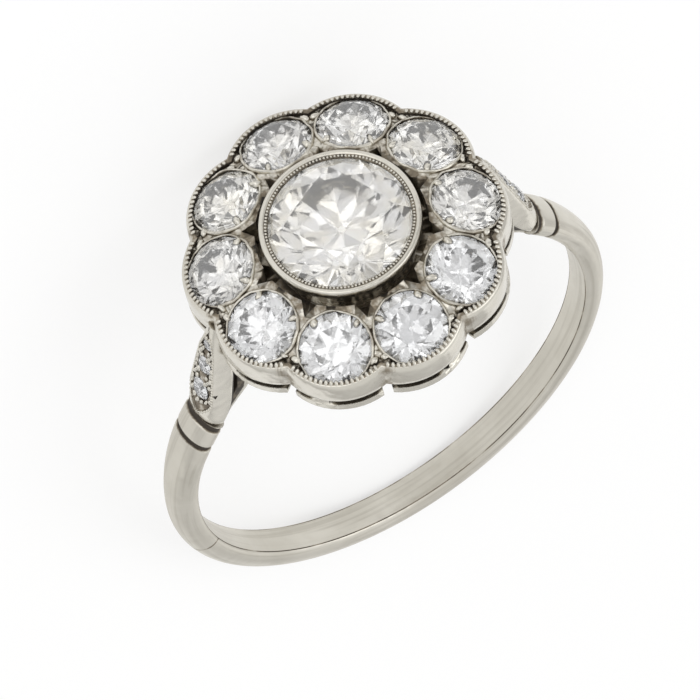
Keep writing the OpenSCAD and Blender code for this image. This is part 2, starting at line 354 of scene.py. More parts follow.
platinumLook = {
    "bright": (0.71, 0.682, 0.612), "worn": (0.60, 0.573, 0.505), "toneStops": (0.3, 0.65),
    "roughLow": 0.18, "roughHigh": 0.34,
    # thin brown film and thick dirt, which also stand for painted shade, and how much duller they make the
    # surface
    "filmAndShade": (0.26, 0.22, 0.165), "dirtAndShade": (0.040, 0.031, 0.022), "dirtAndShadeRough": 0.30,
    # each pattern's scale, detail and roughness
    "tone": (260, 4), "pits": (2600, 3), "patches": (2100, 5, 0.65), "uneven": (1000, 2),
    # how shut in a place has to be for dirt and painted shade, within a reach in metres; patches where it is
    # rubbed off
    "shelterReach": 0.0006, "sheltered": (0.15, 0.68, 1, 0), "spread": 1.5, "rubbed": (0.40, 0.58, 0.5, 0),
    # dirt and painted shade round the collet: from and to distance from the head's axis, from and to amount
    "moat": (0.0033, 0.0046, 0.42, 0.17), "moatFoot": 0.0103,
    "softEdge": 0.00005, "pitStrength": 0.12, "pitDepth": 0.00002, "unevenDepth": 0.00007,
}
# wear along the shank: brushing with scratches, and slow waves left by hand finishing
wearLook = {
    "streaks": ((140, 5200, 5200), 5), "waves": ((160, 500, 500), 2), "patternRough": 0.5,
    "brushed": (0.36, 0.50, 1, 0), "brushedTone": (0.47, 0.442, 0.38), "brushedShare": 0.55,
    "dull": (0.38, 0.62, 0, 1), "dullTone": (0.53, 0.505, 0.445), "dullShare": 0.35, "dullRough": 0.10,
    "scratchStrength": 0.6, "scratchDepth": 0.000006, "waveDepth": 0.00022,
    # dark line beside the finger hole, and the pattern of its gaps
    "line": (0.45, 0.75, 0, 1), "gapPattern": (420, 4), "gaps": (0.40, 0.54, 0.15, 1),
}


# distance from the head's axis and height along it, in metres
def addHeadPlace(tree, place):
    away = addVectorMath(tree, "SUBTRACT", place, layDown.translation)
    fromAxis = addVectorMath(tree, "LENGTH", addVectorMath(tree, "CROSS_PRODUCT", away, headUp))
    return fromAxis, addVectorMath(tree, "DOT_PRODUCT", away, headUp)


def addShankWear(tree, place, tone, roughness, normal, amount):
    look = wearLook
    along = {}
    for kind in ("streaks", "waves"):
        stretch, detail = look[kind]
        flow = addVectorMath(tree, "MULTIPLY", readMesh(tree, "flow", "Vector"), stretch)
        along[kind] = addNoise(tree, flow, 1.0, detail, look["patternRough"])
    brushed = addFade(tree, along["streaks"], *look["brushed"])
    tone = addMix(tree, addMath(tree, "MULTIPLY", brushed, look["brushedShare"]), tone, look["brushedTone"])
    dull = addFade(tree, along["waves"], *look["dull"])
    tone = addMix(tree, addMath(tree, "MULTIPLY", dull, look["dullShare"]), tone, look["dullTone"])
    roughness = addMath(tree, "MULTIPLY_ADD", dull, look["dullRough"], roughness)
    normal = addBump(tree, along["streaks"], normal, look["scratchStrength"], look["scratchDepth"])
    normal = addBump(tree, along["waves"], normal, 1.0, look["waveDepth"])
    line = addFade(tree, readMesh(tree, "crease"), *look["line"])
    gaps = addFade(tree, addNoise(tree, place, *look["gapPattern"]), *look["gaps"])
    amount = addMath(tree, "ADD", amount, addMath(tree, "MULTIPLY", line, gaps), clamp=True)
    return tone, roughness, normal, amount


def makePlatinum(name, grimeAndShade, polish=0.0, shankWear=False, moat=False):
    look = platinumLook
    material, tree, shader, place = newMaterial(name)
    cloud = addNoise(tree, place, *look["tone"])
    pits = addNoise(tree, place, *look["pits"])
    tone = addRamp(tree, cloud, zip(look["toneStops"], (look["worn"], look["bright"])))
    roughness = addRange(tree, pits, 0, 1, look["roughLow"] - polish, look["roughHigh"] - polish)
    # dirt and painted shade, darker where the surface is shut in, round the collet, and where the mesh says
    # so
    shut = tree.nodes.new("ShaderNodeAmbientOcclusion")
    shut.samples = 8
    shut.inputs["Distance"].default_value = look["shelterReach"]
    sheltered = addFade(tree, shut.outputs["AO"], *look["sheltered"])
    amount = addMath(tree, "MULTIPLY", sheltered, grimeAndShade)
    if moat:
        # a darker ring round the collet, dirt and painted shade together
        fromAxis, height = addHeadPlace(tree, place)
        above = addMath(tree, "GREATER_THAN", height, look["moatFoot"])
        amount = addMath(tree, "MULTIPLY_ADD", addRange(tree, fromAxis, *look["moat"]), above, amount)
    amount = addMath(tree, "ADD", amount, readMesh(tree, "dirtAndShade"), clamp=True)
    # thin dirt and light painted shade are rubbed off in patches, thick dirt and deep painted shade stay
    rubbed = addFade(tree, addNoise(tree, place, *look["patches"]), *look["rubbed"])
    spread = addMath(tree, "MULTIPLY", amount, look["spread"])
    amount = addMath(tree, "SUBTRACT", spread, rubbed, clamp=True)
    # edges softened, fine pits, and a surface that isn't quite even
    edge = tree.nodes.new("ShaderNodeBevel")
    edge.samples = 4
    edge.inputs["Radius"].default_value = look["softEdge"]
    normal = addBump(tree, pits, edge.outputs["Normal"], look["pitStrength"], look["pitDepth"])
    uneven = addNoise(tree, place, *look["uneven"])
    normal = addBump(tree, uneven, normal, 1.0, look["unevenDepth"])
    if shankWear:
        tone, roughness, normal, amount = addShankWear(tree, place, tone, roughness, normal, amount)
    # the lower half of the amount is brown film and light painted shade, the upper half turns it into thick
    # dirt and deep painted shade
    filmShare = addMath(tree, "MULTIPLY", amount, 2.0, clamp=True)
    dirtAndShadeShare = addMath(tree, "MULTIPLY_ADD", amount, 2.0, -1.0, clamp=True)
    colour = addMix(tree, filmShare, tone, look["filmAndShade"])
    colour = addMix(tree, dirtAndShadeShare, colour, look["dirtAndShade"])
    roughness = addMath(tree, "MULTIPLY_ADD", amount, look["dirtAndShadeRough"], roughness)
    tree.links.new(colour, shader.inputs["Base Color"])
    tree.links.new(addMath(tree, "SUBTRACT", 1.0, dirtAndShadeShare), shader.inputs["Metallic"])
    tree.links.new(roughness, shader.inputs["Roughness"])
    tree.links.new(normal, shader.inputs["Normal"])
    return material


diamondLook = {
    "ior": 2.42, "rough": 0.05, "clearness": 0.93, "cloud": (1100, 2), "tintStops": (0.35, 0.65),
    "clear": (0.97, 0.98, 0.99), "warm": (0.96, 0.915, 0.80), "grey": (0.92, 0.895, 0.835),
}


def makeDiamond(name, tint):
    material, tree, shader, place = newMaterial(name)
    cloud = addNoise(tree, place, *diamondLook["cloud"])
    tone = addRamp(tree, cloud, zip(diamondLook["tintStops"], (tint, (1, 1, 1))))
    tree.links.new(tone, shader.inputs["Base Color"])
    shader.inputs["Roughness"].default_value = diamondLook["rough"]
    shader.inputs["IOR"].default_value = diamondLook["ior"]
    shader.inputs["Transmission Weight"].default_value = diamondLook["clearness"]
    return material


# grime sets how much dirt and painted shade gather where each part is shut in
mountMetal = makePlatinum("platinumMount", grimeAndShade=0.40, moat=True)
bandMetal = makePlatinum("platinumBand", grimeAndShade=0.56, polish=0.03)
beadMetal = makePlatinum("platinumBeads", grimeAndShade=0.48, polish=0.03)
colletMetal = makePlatinum("platinumCollet", grimeAndShade=0.16, polish=0.03)
leafMetal = makePlatinum("platinumLeaf", grimeAndShade=0.72)
shankMetal = makePlatinum("platinumShank", grimeAndShade=0.72, polish=-0.10, shankWear=True)
clearStone = makeDiamond("diamondClear", diamondLook["clear"])
warmStone = makeDiamond("diamondWarm", diamondLook["warm"])
greyStone = makeDiamond("diamondGrey", diamondLook["grey"])
print("materials made")


# a point's place along and across the middle line of its own petal
def petalPlace(x, y):
    turn = (math.atan2(y, x) % petalStep) - petalStep / 2
    r = math.hypot(x, y)
    return r * math.cos(turn), r * math.sin(turn)


# distance by which a point lies inside the outline of the petals
def insidePetals(x, y):
    along, across = petalPlace(x, y)
    return head["petalRadius"] - math.hypot(along - head["petalCentre"], across)


# height of the domed plate at a distance from the head's axis
def plateHeight(r):
    return head["rim"] + (head["petalReach"] - r) * math.tan(math.radians(head["lean"]))


# Head: the solid's own plate, rail and posts, with smooth curves, and dirt and painted shade in their
# shelter.
# Its rim, the band's outside, the leaves' ends and the collet's lip draw back under the pieces
# that finish them.
mountLook = {
    # merging and smoothing, and the height where the head is cut from the shank
    "merge": 0.000002, "smooth": 32, "cut": 9.69, "cutMerge": 0.000001,
    # where the rim and the band begin, and how far they draw back
    "outside": -0.02, "overPlate": 0.02,
    "rimFoot": 10.2, "rimWidth": 0.17, "rimDrop": 0.33, "wallInset": 0.03,
    # the same for the leaves' ends and for the collet's lip
    "leafTop": 11.2, "leafInset": 0.15,
    "lipRadius": 2.9, "lipFoot": 12.75, "lipDrop": 0.095,
    # heights of the slot, painted dark as shade, how far inside the outline it starts, and its painted shade
    "slotFoot": 10.03, "slotTop": 10.29, "slotInside": 0.10, "slotShade": 1,
    # underside of the plate, painted darker as shade, and the seats, which stay clean
    "underFoot": 10.1, "underShade": 0.3,
    "seatFoot": 10.3, "centreSeat": 2.75, "seatPlay": 0.02, "seatDirt": -2,
}


def drawBack(spot):
    look = mountLook
    r = math.hypot(spot.x, spot.y)
    inside = insidePetals(spot.x, spot.y)
    if spot.z > look["rimFoot"] and look["outside"] < inside < look["rimWidth"]:
        if spot.z > plateHeight(r) + look["overPlate"]:
            spot.z -= look["rimDrop"]
        if inside < look["wallInset"]:
            spot.x *= 1 - look["wallInset"] / r
            spot.y *= 1 - look["wallInset"] / r
    if inside <= look["outside"] and spot.z < look["leafTop"]:
        spot.x *= 1 - (look["leafInset"] - inside) / r
        spot.y *= 1 - (look["leafInset"] - inside) / r
    if r < look["lipRadius"] and spot.z > look["lipFoot"]:
        spot.z -= look["lipDrop"]


# whether a point lies under a stone
def inSeat(spot):
    look = mountLook
    r = math.hypot(spot.x, spot.y)
    along, across = petalPlace(spot.x, spot.y)
    away = math.hypot(along - head["clusterRadius"], across)
    underCluster = (away < head["stoneRadius"] + look["seatPlay"]
                    and spot.z < plateHeight(r) - look["seatPlay"])
    return spot.z > look["seatFoot"] and (r < look["centreSeat"] or underCluster)


# painted shade in the slot and under the plate; the seats are kept clear of dirt and painted shade
def mountShade(center, normal):
    look = mountLook
    spot = standUp @ center
    if inSeat(spot):
        return look["seatDirt"]
    if (standUp.to_3x3() @ normal).normalized().z < -0.5 and spot.z > look["underFoot"]:
        return look["underShade"]
    inSlot = look["slotFoot"] < spot.z < look["slotTop"]
    return look["slotShade"] if inSlot and insidePetals(spot.x, spot.y) > look["slotInside"] else 0


def makeMount():
    look = mountLook
    mount = copyPiece(bpy.data.objects["ring_mount"], Matrix())
    nameAs(mount, "head_mount")
    openMesh(mount)
    bpy.ops.mesh.remove_doubles(threshold=look["merge"])
    bpy.ops.mesh.bisect(plane_co=layDown @ Vector((0, 0, look["cut"])), plane_no=headUp,
                        use_fill=True, clear_inner=True, threshold=look["cutMerge"])
    closeMesh()
    for vertex in mount.data.vertices:
        spot = standUp @ vertex.co
        drawBack(spot)
        vertex.co = layDown @ spot
    bpy.ops.object.shade_smooth_by_angle(angle=math.radians(look["smooth"]))
    even = mount.modifiers.new("even", "WEIGHTED_NORMAL")
    even.keep_sharp = True
    even.weight = 50
    bpy.ops.object.modifier_apply(modifier=even.name)
    paintDirtAndShade(mount, mountShade)
    mount.data.materials.clear()
    mount.data.materials.append(mountMetal)
    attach(mount, "root")
    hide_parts("ring_mount")
    print("mount smoothed:", len(mount.data.polygons), "faces")


makeMount()

# Shank: swept round the finger hole, then tapered, with two engraved lines at each shoulder
shankLook = {
    # angle where it meets the leaves, sizes at the back and at the top, and points of the section
    "top": 38.95, "steps": 900, "backWidth": 1.38, "backThick": 1.25, "topWidth": 1.9, "topThick": 1.03,
    "widenTo": 32.5, "outerPoints": 26, "innerPoints": 4,
    "edge": 0.07, "edgeShare": 0.012, "creaseShare": 0.45,
    # engraved lines: angles, width, softness, depth, and how they run out at the edges
    "lines": (38, 31.5), "lineWidth": 0.25, "lineSpill": 0.02, "lineSoft": 0.045,
    "lineDepth": 0.10, "lineEnd": 0.08,
    # sizing seam: dirt, angle and half its width in degrees
    "seam": 0.5, "seamAngle": -163.5, "seamHalf": 0.15,
}


# width and thickness of the shank at an angle above its widest line
def shankSize(angle):
    look = shankLook
    wider = (look["topWidth"] - look["backWidth"]) * easeIn(angle / look["widenTo"])
    thinner = (look["topThick"] - look["backThick"]) * easeIn((angle + 90) / 90)
    return look["backWidth"] + wider, look["backThick"] + thinner


# half width, half height and middle of the oval, and where the finger hole cuts it
def shankOval(angle):
    width, thick = shankSize(angle)
    tall = thick / (1 + math.sqrt(1 - (bore["innerWidth"] / width) ** 2))
    middle = bore["radius"] + thick - tall
    return width / 2, tall, middle, math.asin((bore["radius"] - middle) / tall)


# a point of the section: share runs from the inner edge over the outside to the other inner edge
def ovalPoint(angle, share):
    half, tall, middle, low = shankOval(angle)
    turn = low + (math.pi - 2 * low) * share
    return half * math.cos(turn), middle + tall * math.sin(turn)


# how far a point lies in an engraved line, from 0 to 1
def grooveAt(angle, out):
    reach = shankLook["lineWidth"] / 2 + shankLook["lineSpill"]
    nearest = min(abs(math.radians(angle - line)) * out for line in shankLook["lines"])
    return easeIn((reach - nearest) / shankLook["lineSoft"])


# points of the shank's section: over the outside, then along the finger hole between two creases
def shankSection():
    first, count = shankLook["edgeShare"], shankLook["outerPoints"]
    section = [("outer", first + (1 - 2 * first) * k / (count - 1)) for k in range(count)]
    half, count = bore["innerWidth"] / 2 - shankLook["edge"], shankLook["innerPoints"]
    crease = bore["innerWidth"] / 2 - shankLook["edge"] * shankLook["creaseShare"]
    inner = [("inner", -half + 2 * half * k / (count - 1)) for k in range(count)]
    return section + [("crease", -crease)] + inner + [("crease", crease)]


def makeShank():
    look = shankLook
    top, section = look["top"], shankSection()
    points = []
    for kind, value in section:
        across, out = ovalPoint(top, value) if kind == "outer" else (value, bore["radius"])
        points.append((out * math.cos(math.radians(top)), across, out * math.sin(math.radians(top))))
    shank = addLoop(points)
    nameAs(shank, "shank")
    spinLoop(shank, look["steps"], math.radians(180 + 2 * top), axis=(0, 1, 0))
    mesh = shank.data
    # the mesh carries its dirt, the crease beside the finger hole, and a place that follows the shank
    dirtAndShade = mesh.attributes.new("dirtAndShade", "FLOAT", "POINT")
    crease = mesh.attributes.new("crease", "FLOAT", "POINT")
    flow = mesh.attributes.new("flow", "FLOAT_VECTOR", "POINT")
    for index, vertex in enumerate(mesh.vertices):
        kind, value = section[index % len(section)]
        crease.data[index].value = 1.0 if kind == "crease" else 0.0
        angle = math.degrees(math.atan2(vertex.co.z, vertex.co.x))
        up = 180 - angle if angle > 90 else (-180 - angle if angle < -90 else angle)
        if kind == "outer":
            across, out = ovalPoint(up, value)
            groove = grooveAt(up, out)
            seam = look["seam"] if abs(angle - look["seamAngle"]) < look["seamHalf"] else 0
            dirtAndShade.data[index].value = max(groove, seam)
            groove *= look["lineDepth"] * easeIn(min(value, 1 - value) / look["lineEnd"])
            half, tall, middle, low = shankOval(up)
            across -= groove * across / half
            out -= groove * (out - middle) / tall
            vertex.co = (out * math.cos(math.radians(angle)), across, out * math.sin(math.radians(angle)))
        along = math.radians(angle - 360 if angle > 90 else angle) * bore["radius"]
        away = math.hypot(vertex.co.x, vertex.co.z)
        flow.data[index].vector = Vector((along, vertex.co.y, away)) * millimetre
    settle(shank, shankMetal, 42)
    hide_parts("ring_mount")
    print("shank swept:", len(mesh.vertices), "points")


makeShank()

# Shoulders: a stone-set leaf above the engraved lines, and a strap beside the finger.
# Places on a leaf run along it from foot to tip, across it, and out from its face.
leafLook = {
    "foot": (7.484, 6.060), "tip": (6.022, 10.930), "before": 0.1, "beyond": 0.2,
    "stations": 72, "crowding": 1.25,
    # set face: its width and where it is widest and starts, its border, its sunk field, and its dome
    "width": 1.62, "widest": 1.45, "start": 0.1, "border": 0.09, "borderTop": 0.03,
    "field": -0.06, "domed": 0.27,
    # half widths at foot and tip, rounded foot, and the flank's fall and curve
    "footHalf": 0.96, "tipHalf": 0.40, "round": 0.45, "footNarrow": 0.16, "footDrop": 0.09,
    "ledge": 0.05, "flank": 0.85, "flankShare": 0.85, "flankCurve": 1.15, "flankSteps": 8, "least": 0.02,
    # how thick the leaf is along its length
    "thick": ((0.0, 0.72), (0.5, 0.92), (1.14, 1.06), (2.5, 1.02), (4.28, 0.70), (4.8, 0.55), (5.3, 0.70)),
    # the stones' places and widths, and how deep their girdles lie
    "stones": ((1.45, 0.95), (2.8835, 0.817), (4.1365, 0.589)), "bury": 0.08,
    # dirt and painted shade in the sunk field, and the height below which the field lies
    "fieldDirtAndShade": 0.48, "fieldTop": -0.02,
}
leafSeat = {"play": 0.03, "ledge": 0.02, "top": 0.4, "foot": -0.62, "narrow": 0.5, "slope": 0.905}
# a small nick in one leaf: slope is how its walls stand to the way it was struck
leafNick = {
    "leaf": "left", "spot": (1.68, 0.745, -0.26), "way": (0, 1, 0.8),
    "radius": 0.2, "depth": 0.2, "slope": 0.447, "slopePlay": 0.03,
}
nickWay = Vector(leafNick["way"]).normalized()
leafAlong = Vector((leafLook["tip"][0] - leafLook["foot"][0], 0, leafLook["tip"][1] - leafLook["foot"][1]))
leafLength = leafAlong.length
leafAlong.normalize()
leafOut = Vector((leafAlong.z, 0, -leafAlong.x))
halfTurn = Matrix.Rotation(math.pi, 4, "Z")


# moves a piece from the leaf's own places to the ring's frame
def onLeaf(side):
    move = Matrix((
        (leafAlong.x, 0, leafOut.x, leafLook["foot"][0]),
        (0, 1, 0, 0),
        (leafAlong.z, 0, leafOut.z, leafLook["foot"][1]),
        (0, 0, 0, 1)))
    return move if side > 0 else halfTurn @ move


# half width of the set face's outline, two arcs that meet where it is widest
def leafHalf(s):
    look = leafLook
    half = look["width"] / 2
    widest = look["widest"]
    length = widest - look["start"] if s < widest else leafLength - widest
    arc = (length * length + half * half) / (2 * half)
    return max(0.0, math.sqrt(max(0, arc * arc - (s - widest) ** 2)) - arc + half)


# half width of the whole leaf at its flat flank
def leafOuter(s):
    return leafLook["footHalf"] + (leafLook["tipHalf"] - leafLook["footHalf"]) * s / leafLength


# half width of the set face, kept inside the flank
def leafEdge(s):
    return min(leafHalf(s), leafOuter(s) - leafLook["ledge"])


# how far the domed face falls towards its border
def leafDrop(across):
    return leafLook["domed"] * across * across


def leafLoop(s):
    look = leafLook
    roundness = math.sqrt(1 - (1 - easeLine((s + look["before"]) / look["round"])) ** 2)
    outer = leafOuter(s) * (1 - look["footNarrow"] * (1 - roundness))
    lift = -look["footDrop"] * (1 - roundness)
    edge = min(leafHalf(s), outer - look["ledge"])
    inner = max(look["least"], edge - look["border"])
    edge = max(edge, inner + look["least"])
    top = look["borderTop"]
    field = look["field"] if leafHalf(s) > look["border"] else top * 0.3
    thick = readTable(look["thick"], s)
    fall = min(look["flank"], thick * look["flankShare"]) - leafDrop(edge)
    # across the sunk field and the raised border
    half = [(0, field), (inner * 0.35, field), (inner * 0.7, field), (inner, field),
            (inner + 0.012, top * 0.6), ((inner + edge) / 2, top), (edge, top * 0.4)]
    half = [(across, out - leafDrop(across)) for across, out in half]
    # down the rounded flank
    for k in range(look["flankSteps"]):
        turn = math.radians(90 * (k + 1) / look["flankSteps"])
        down = leafDrop(edge) + fall * (1 - math.cos(turn)) ** look["flankCurve"]
        half.append((edge + (outer - edge) * math.sin(turn), -down))
    # and in under the leaf
    half += [(outer - 0.01, -(leafDrop(edge) + fall + thick) / 2),
             (outer - 0.06, -thick), (outer * 0.5, -thick)]
    loop = [(s, across, lift + out) for across, out in half]
    loop += [(s, -across, lift + out) for across, out in reversed(half[1:])]
    return [Vector(point) for point in loop]


# hole for one stone: wide above the girdle, narrowing below it
def addSeatCutter(s, width):
    r = width / 2 + leafSeat["play"]
    throat = r * leafSeat["narrow"]
    low = -leafLook["bury"] - leafSeat["ledge"]
    top, foot = leafSeat["top"], leafSeat["foot"]
    cutter = addLoop([(0, 0, top), (r, 0, top), (r, 0, low), (throat, 0, low - throat * leafSeat["slope"]),
                      (throat, 0, foot), (0, 0, foot)])
    spinLoop(cutter, 32, 2 * math.pi)
    cutter.location = (s, 0, 0)
    fixPlace(cutter)
    openMesh(cutter)
    bpy.ops.mesh.normals_make_consistent(inside=False)
    closeMesh()
    return cutter


def addNickCutter():
    deselectAll()
    bpy.ops.mesh.primitive_cone_add(vertices=3, radius1=leafNick["radius"], radius2=0,
                                    depth=leafNick["depth"])
    nick = bpy.context.object
    turn = nickWay.to_track_quat("-Z", "X").to_matrix().to_4x4()
    nick.matrix_world = Matrix.Translation(leafNick["spot"]) @ turn
    bpy.context.view_layer.update()
    return nick


# painted shade on faces that look down under the leaf, and dirt and painted shade in its sunk field
def leafDirtAndShade(spot, way):
    if way.z < -0.4:
        return 1.0
    inField = abs(spot.y) < leafEdge(spot.x) - leafLook["border"] and spot.z < leafLook["fieldTop"]
    return leafLook["fieldDirtAndShade"] if inField else 0.0


# the same, with the struck walls of the nick darkened
def nickedLeafDirtAndShade(spot, way):
    near = (spot - Vector(leafNick["spot"])).length < leafNick["radius"]
    struck = abs(way.dot(nickWay) - leafNick["slope"]) < leafNick["slopePlay"]
    return 1.0 if near and struck else leafDirtAndShade(spot, way)


def makeLeaf(side, word):
    before, count = leafLook["before"], leafLook["stations"]
    reach = leafLength + leafLook["beyond"] + before
    stations = [-before + reach * (k / count) ** leafLook["crowding"] for k in range(count + 1)]
    leaf = addTube("leaf_" + word, [leafLoop(s) for s in stations])
    for s, width in leafLook["stones"]:
        cutAway(leaf, addSeatCutter(s, width))
    dirtAndShadeAt = leafDirtAndShade
    if word == leafNick["leaf"]:
        cutAway(leaf, addNickCutter())
        dirtAndShadeAt = nickedLeafDirtAndShade
    paintDirtAndShade(leaf, dirtAndShadeAt)
    leaf.matrix_world = onLeaf(side)
    settle(leaf, leafMetal, 35)
    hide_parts("ring_mount")


# beads along the leaf's border, and grains between its stones
leafBeads = {
    "pitch": 0.15, "size": (0.052, 0.06, 0.045), "from": 0.45, "to": 4.75,
    "sunk": 0.012, "leastAcross": 0.04, "slopeStep": 0.05,
}
leafGrains = {
    "size": (0.125, 0.09, 0.085), "seed": 11, "sunk": 0.03, "turn": 0.6, "wobble": 0.28,
    # two rows and a middle pair in each gap between stones, as shares of the way to the border
    "gapEdge": 0.06, "gapReach": 0.62, "rows": (-0.20, 0.20), "rowShares": (0.52, 0.95), "middleShare": 0.75,
    # beside the two larger stones, and round the first and the last
    "sideEdge": 0.03, "beside": (-0.16, 0.1),
    "first": ((-0.07, -0.24), (-0.07, 0.24), (-0.14, 0), (0.1, 0.46), (0.1, -0.46)),
    "last": ((0.36, -0.08), (0.36, 0.08)),
}


def leafBeadRow(bead, edge):
    row = []
    s, step = leafBeads["from"], leafBeads["slopeStep"]
    while s < leafBeads["to"]:
        across = leafEdge(s) - leafLook["border"] / 2
        if across > leafBeads["leastAcross"]:
            slope = (leafEdge(s + step) - leafEdge(s - step)) / (2 * step)
            out = leafLook["borderTop"] - leafBeads["sunk"] - leafDrop(across)
            place = Matrix.Translation((s, edge * across, out))
            row.append(copyPiece(bead, place @ Matrix.Rotation(edge * math.atan(slope), 4, "Z")))
        s += leafBeads["pitch"]
    return row


def leafGrainSpots():
    look = leafGrains
    stones, border = leafLook["stones"], leafLook["border"]
    spots = []
    for (a, widthA), (b, widthB) in zip(stones, stones[1:]):
        middle = (a + widthA / 2 + b - widthB / 2) / 2
        reach = min(leafEdge(middle) - border - look["gapEdge"], look["gapReach"])
        for offset in look["rows"]:
            spots += [(middle + offset, edge * reach * share)
                      for edge in (-1, 1) for share in look["rowShares"]]
        spots += [(middle, edge * reach * look["middleShare"]) for edge in (-1, 1)]
    for s, _ in stones[:2]:
        reach = leafEdge(s) - border - look["sideEdge"]
        spots += [(s + offset, edge * reach) for edge in (-1, 1) for offset in look["beside"]]
    low = stones[0][0] - stones[0][1] / 2
    spots += [(low + offset, across) for offset, across in look["first"]]
    spots += [(stones[-1][0] + offset, across) for offset, across in look["last"]]
    return spots


def makeLeafTrim(side, word):
    luck = random.Random(leafGrains["seed"] + side)
    bead = makeGrain(leafBeads["size"])
    pieces = leafBeadRow(bead, -1) + leafBeadRow(bead, 1)
    throwAway(bead)
    grain = makeGrain((1, 1, 1))
    for s, across in leafGrainSpots():
        scale = luckySize(luck, leafGrains["size"])
        turn = Matrix.Rotation(luck.uniform(-leafGrains["turn"], leafGrains["turn"]), 4, "Z")
        place = Matrix.Translation((s, across, -leafGrains["sunk"] - leafDrop(across)))
        twin = copyPiece(grain, place @ turn @ scale)
        roughen(twin, luck, leafGrains["wobble"])
        pieces.append(twin)
    throwAway(grain)
    trim = joinAll(pieces, "leaf_beads_" + word)
    fixPlace(trim)
    trim.matrix_world = onLeaf(side)
    settle(trim, beadMetal)


strapLook = {
    # half width, rounded corners, and how far the painted shade comes round onto the sides
    "half": 0.59, "round": 0.05, "corner": 0.015, "darkShare": 0.62,
    # outer and inner points beside the finger hole, from the shank up to the rail
    "path": (((7.004, 5.571), (6.730, 5.354)), ((6.755, 5.872), (6.490, 5.642)),
             ((6.384, 6.273), (6.134, 6.028)), ((6.080, 6.700), (5.755, 6.391)),
             ((5.800, 7.130), (5.400, 6.720)), ((5.660, 7.900), (5.110, 7.500)),
             ((5.540, 8.800), (4.960, 8.600)), ((5.420, 9.820), (4.820, 9.820))),
    # the columns of faces, counted round a loop, that lie between the leaf's side and that share; these and
    # the faces towards the leaf get painted shade, the rest a light film
    "shadedColumns": (0, 1, 2, 10, 11, 12), "shadedAmount": 0.8, "clean": 0.1,
}


def makeStrap(side, word):
    half, soft, corner = strapLook["half"], strapLook["round"], strapLook["corner"]
    loops = []
    for outer, inner in strapLook["path"]:
        a, b = Vector((outer[0], 0, outer[1])), Vector((inner[0], 0, inner[1]))
        way = (b - a).normalized()
        row = [(a, half - soft), (a + way * corner, half - corner), (a + way * soft, half),
               (a + (b - a) * strapLook["darkShare"], half),
               (b - way * soft, half), (b - way * corner, half - corner), (b, half - soft)]
        loop = [place + Vector((0, across, 0)) for place, across in row]
        loop += [place - Vector((0, across, 0)) for place, across in reversed(row)]
        loops.append(loop)
    strap = addTube("strap_" + word, loops)
    dirtAndShade = strap.data.attributes.new("dirtAndShade", "FLOAT", "FACE")
    # faces that look towards the leaf, and the columns beside it, are painted in shade
    for face in strap.data.polygons:
        dark = face.normal.dot(leafOut) > 0.5 or face.index % len(loops[0]) in strapLook["shadedColumns"]
        dirtAndShade.data[face.index].value = strapLook["shadedAmount"] if dark else strapLook["clean"]
    if side < 0:
        strap.matrix_world = halfTurn
    settle(strap, leafMetal, 35)


for side, word in ((-1, "left"), (1, "right")):
    makeLeaf(side, word)
    makeLeafTrim(side, word)
    makeStrap(side, word)
print("shoulders made")

# Polished band with its rolled rim, one petal repeated round the head
bandLook = {
    "proud": 0.006, "turn": 52, "steps": 40,
    # distance inwards from the band's outside, and height at the middle of a petal
    "profile": ((0.07, 10.29), (0.025, 10.30), (0.004, 10.34), (-0.004, 10.50), (-0.008, 10.70),
                (-0.004, 10.95), (0.0, 11.12), (0.012, 11.22), (0.04, 11.31), (0.075, 11.345),
                (0.11, 11.345), (0.20, 11.325), (0.245, 11.30), (0.262, 11.26), (0.265, 11.06),
                (0.20, 10.98), (0.12, 10.90)),
    # dirt and painted shade under the beads; film and painted shade by the notches, from and over how many
    # degrees
    "beadInset": 0.10, "beadDirtAndShade": 0.5, "notchFilmAndShade": 0.32, "notchFrom": 1, "notchFade": 4,
}
toFirstPetal = Matrix.Rotation(petalStep / 2, 3, "Z")


# lifts what was made about the middle line of a petal onto the domed plate, by the share that
# each height gives, and turns it to the first petal
def dropOnDome(piece, shareAt):
    for vertex in piece.data.vertices:
        r = math.hypot(vertex.co.x, vertex.co.y)
        vertex.co.z += (plateHeight(r) - head["rim"]) * shareAt(vertex.co.z)
        vertex.co = toFirstPetal @ vertex.co


def bandShare(height):
    return easeLine((height - head["bandFoot"]) / (head["rim"] - head["bandFoot"]))


def bandDirtAndShade(spot, way):
    if insidePetals(spot.x, spot.y) > bandLook["beadInset"]:
        return bandLook["beadDirtAndShade"]
    halfStep = 180 / head["stones"]
    fromNotch = abs((math.degrees(math.atan2(spot.y, spot.x)) + halfStep) % (2 * halfStep) - halfStep)
    return bandLook["notchFilmAndShade"] * (1 - easeIn((fromNotch - bandLook["notchFrom"]) / bandLook["notchFade"]))


def makeBand():
    turn = math.radians(-bandLook["turn"])
    points = []
    for inward, height in bandLook["profile"]:
        r = head["petalRadius"] + bandLook["proud"] - inward
        points.append((head["petalCentre"] + r * math.cos(turn), r * math.sin(turn), height))
    band = addLoop(points)
    nameAs(band, "petal_band")
    spinLoop(band, bandLook["steps"], -2 * turn, centre=(head["petalCentre"], 0, 0))
    openMesh(band)
    for side in (-1, 1):  # one petal, cut off at the notches
        angle = petalStep / 2 * side
        bpy.ops.mesh.select_all(action="SELECT")
        bpy.ops.mesh.bisect(plane_co=(0, 0, 0), plane_no=(-side * math.sin(angle), side * math.cos(angle), 0),
                            clear_outer=True)
    closeMesh()
    dropOnDome(band, bandShare)
    repeatRound(band, head["stones"])
    openMesh(band)
    bpy.ops.mesh.remove_doubles(threshold=0.002)
    closeMesh()
    paintDirtAndShade(band, bandDirtAndShade)
    settle(band, bandMetal, 40)


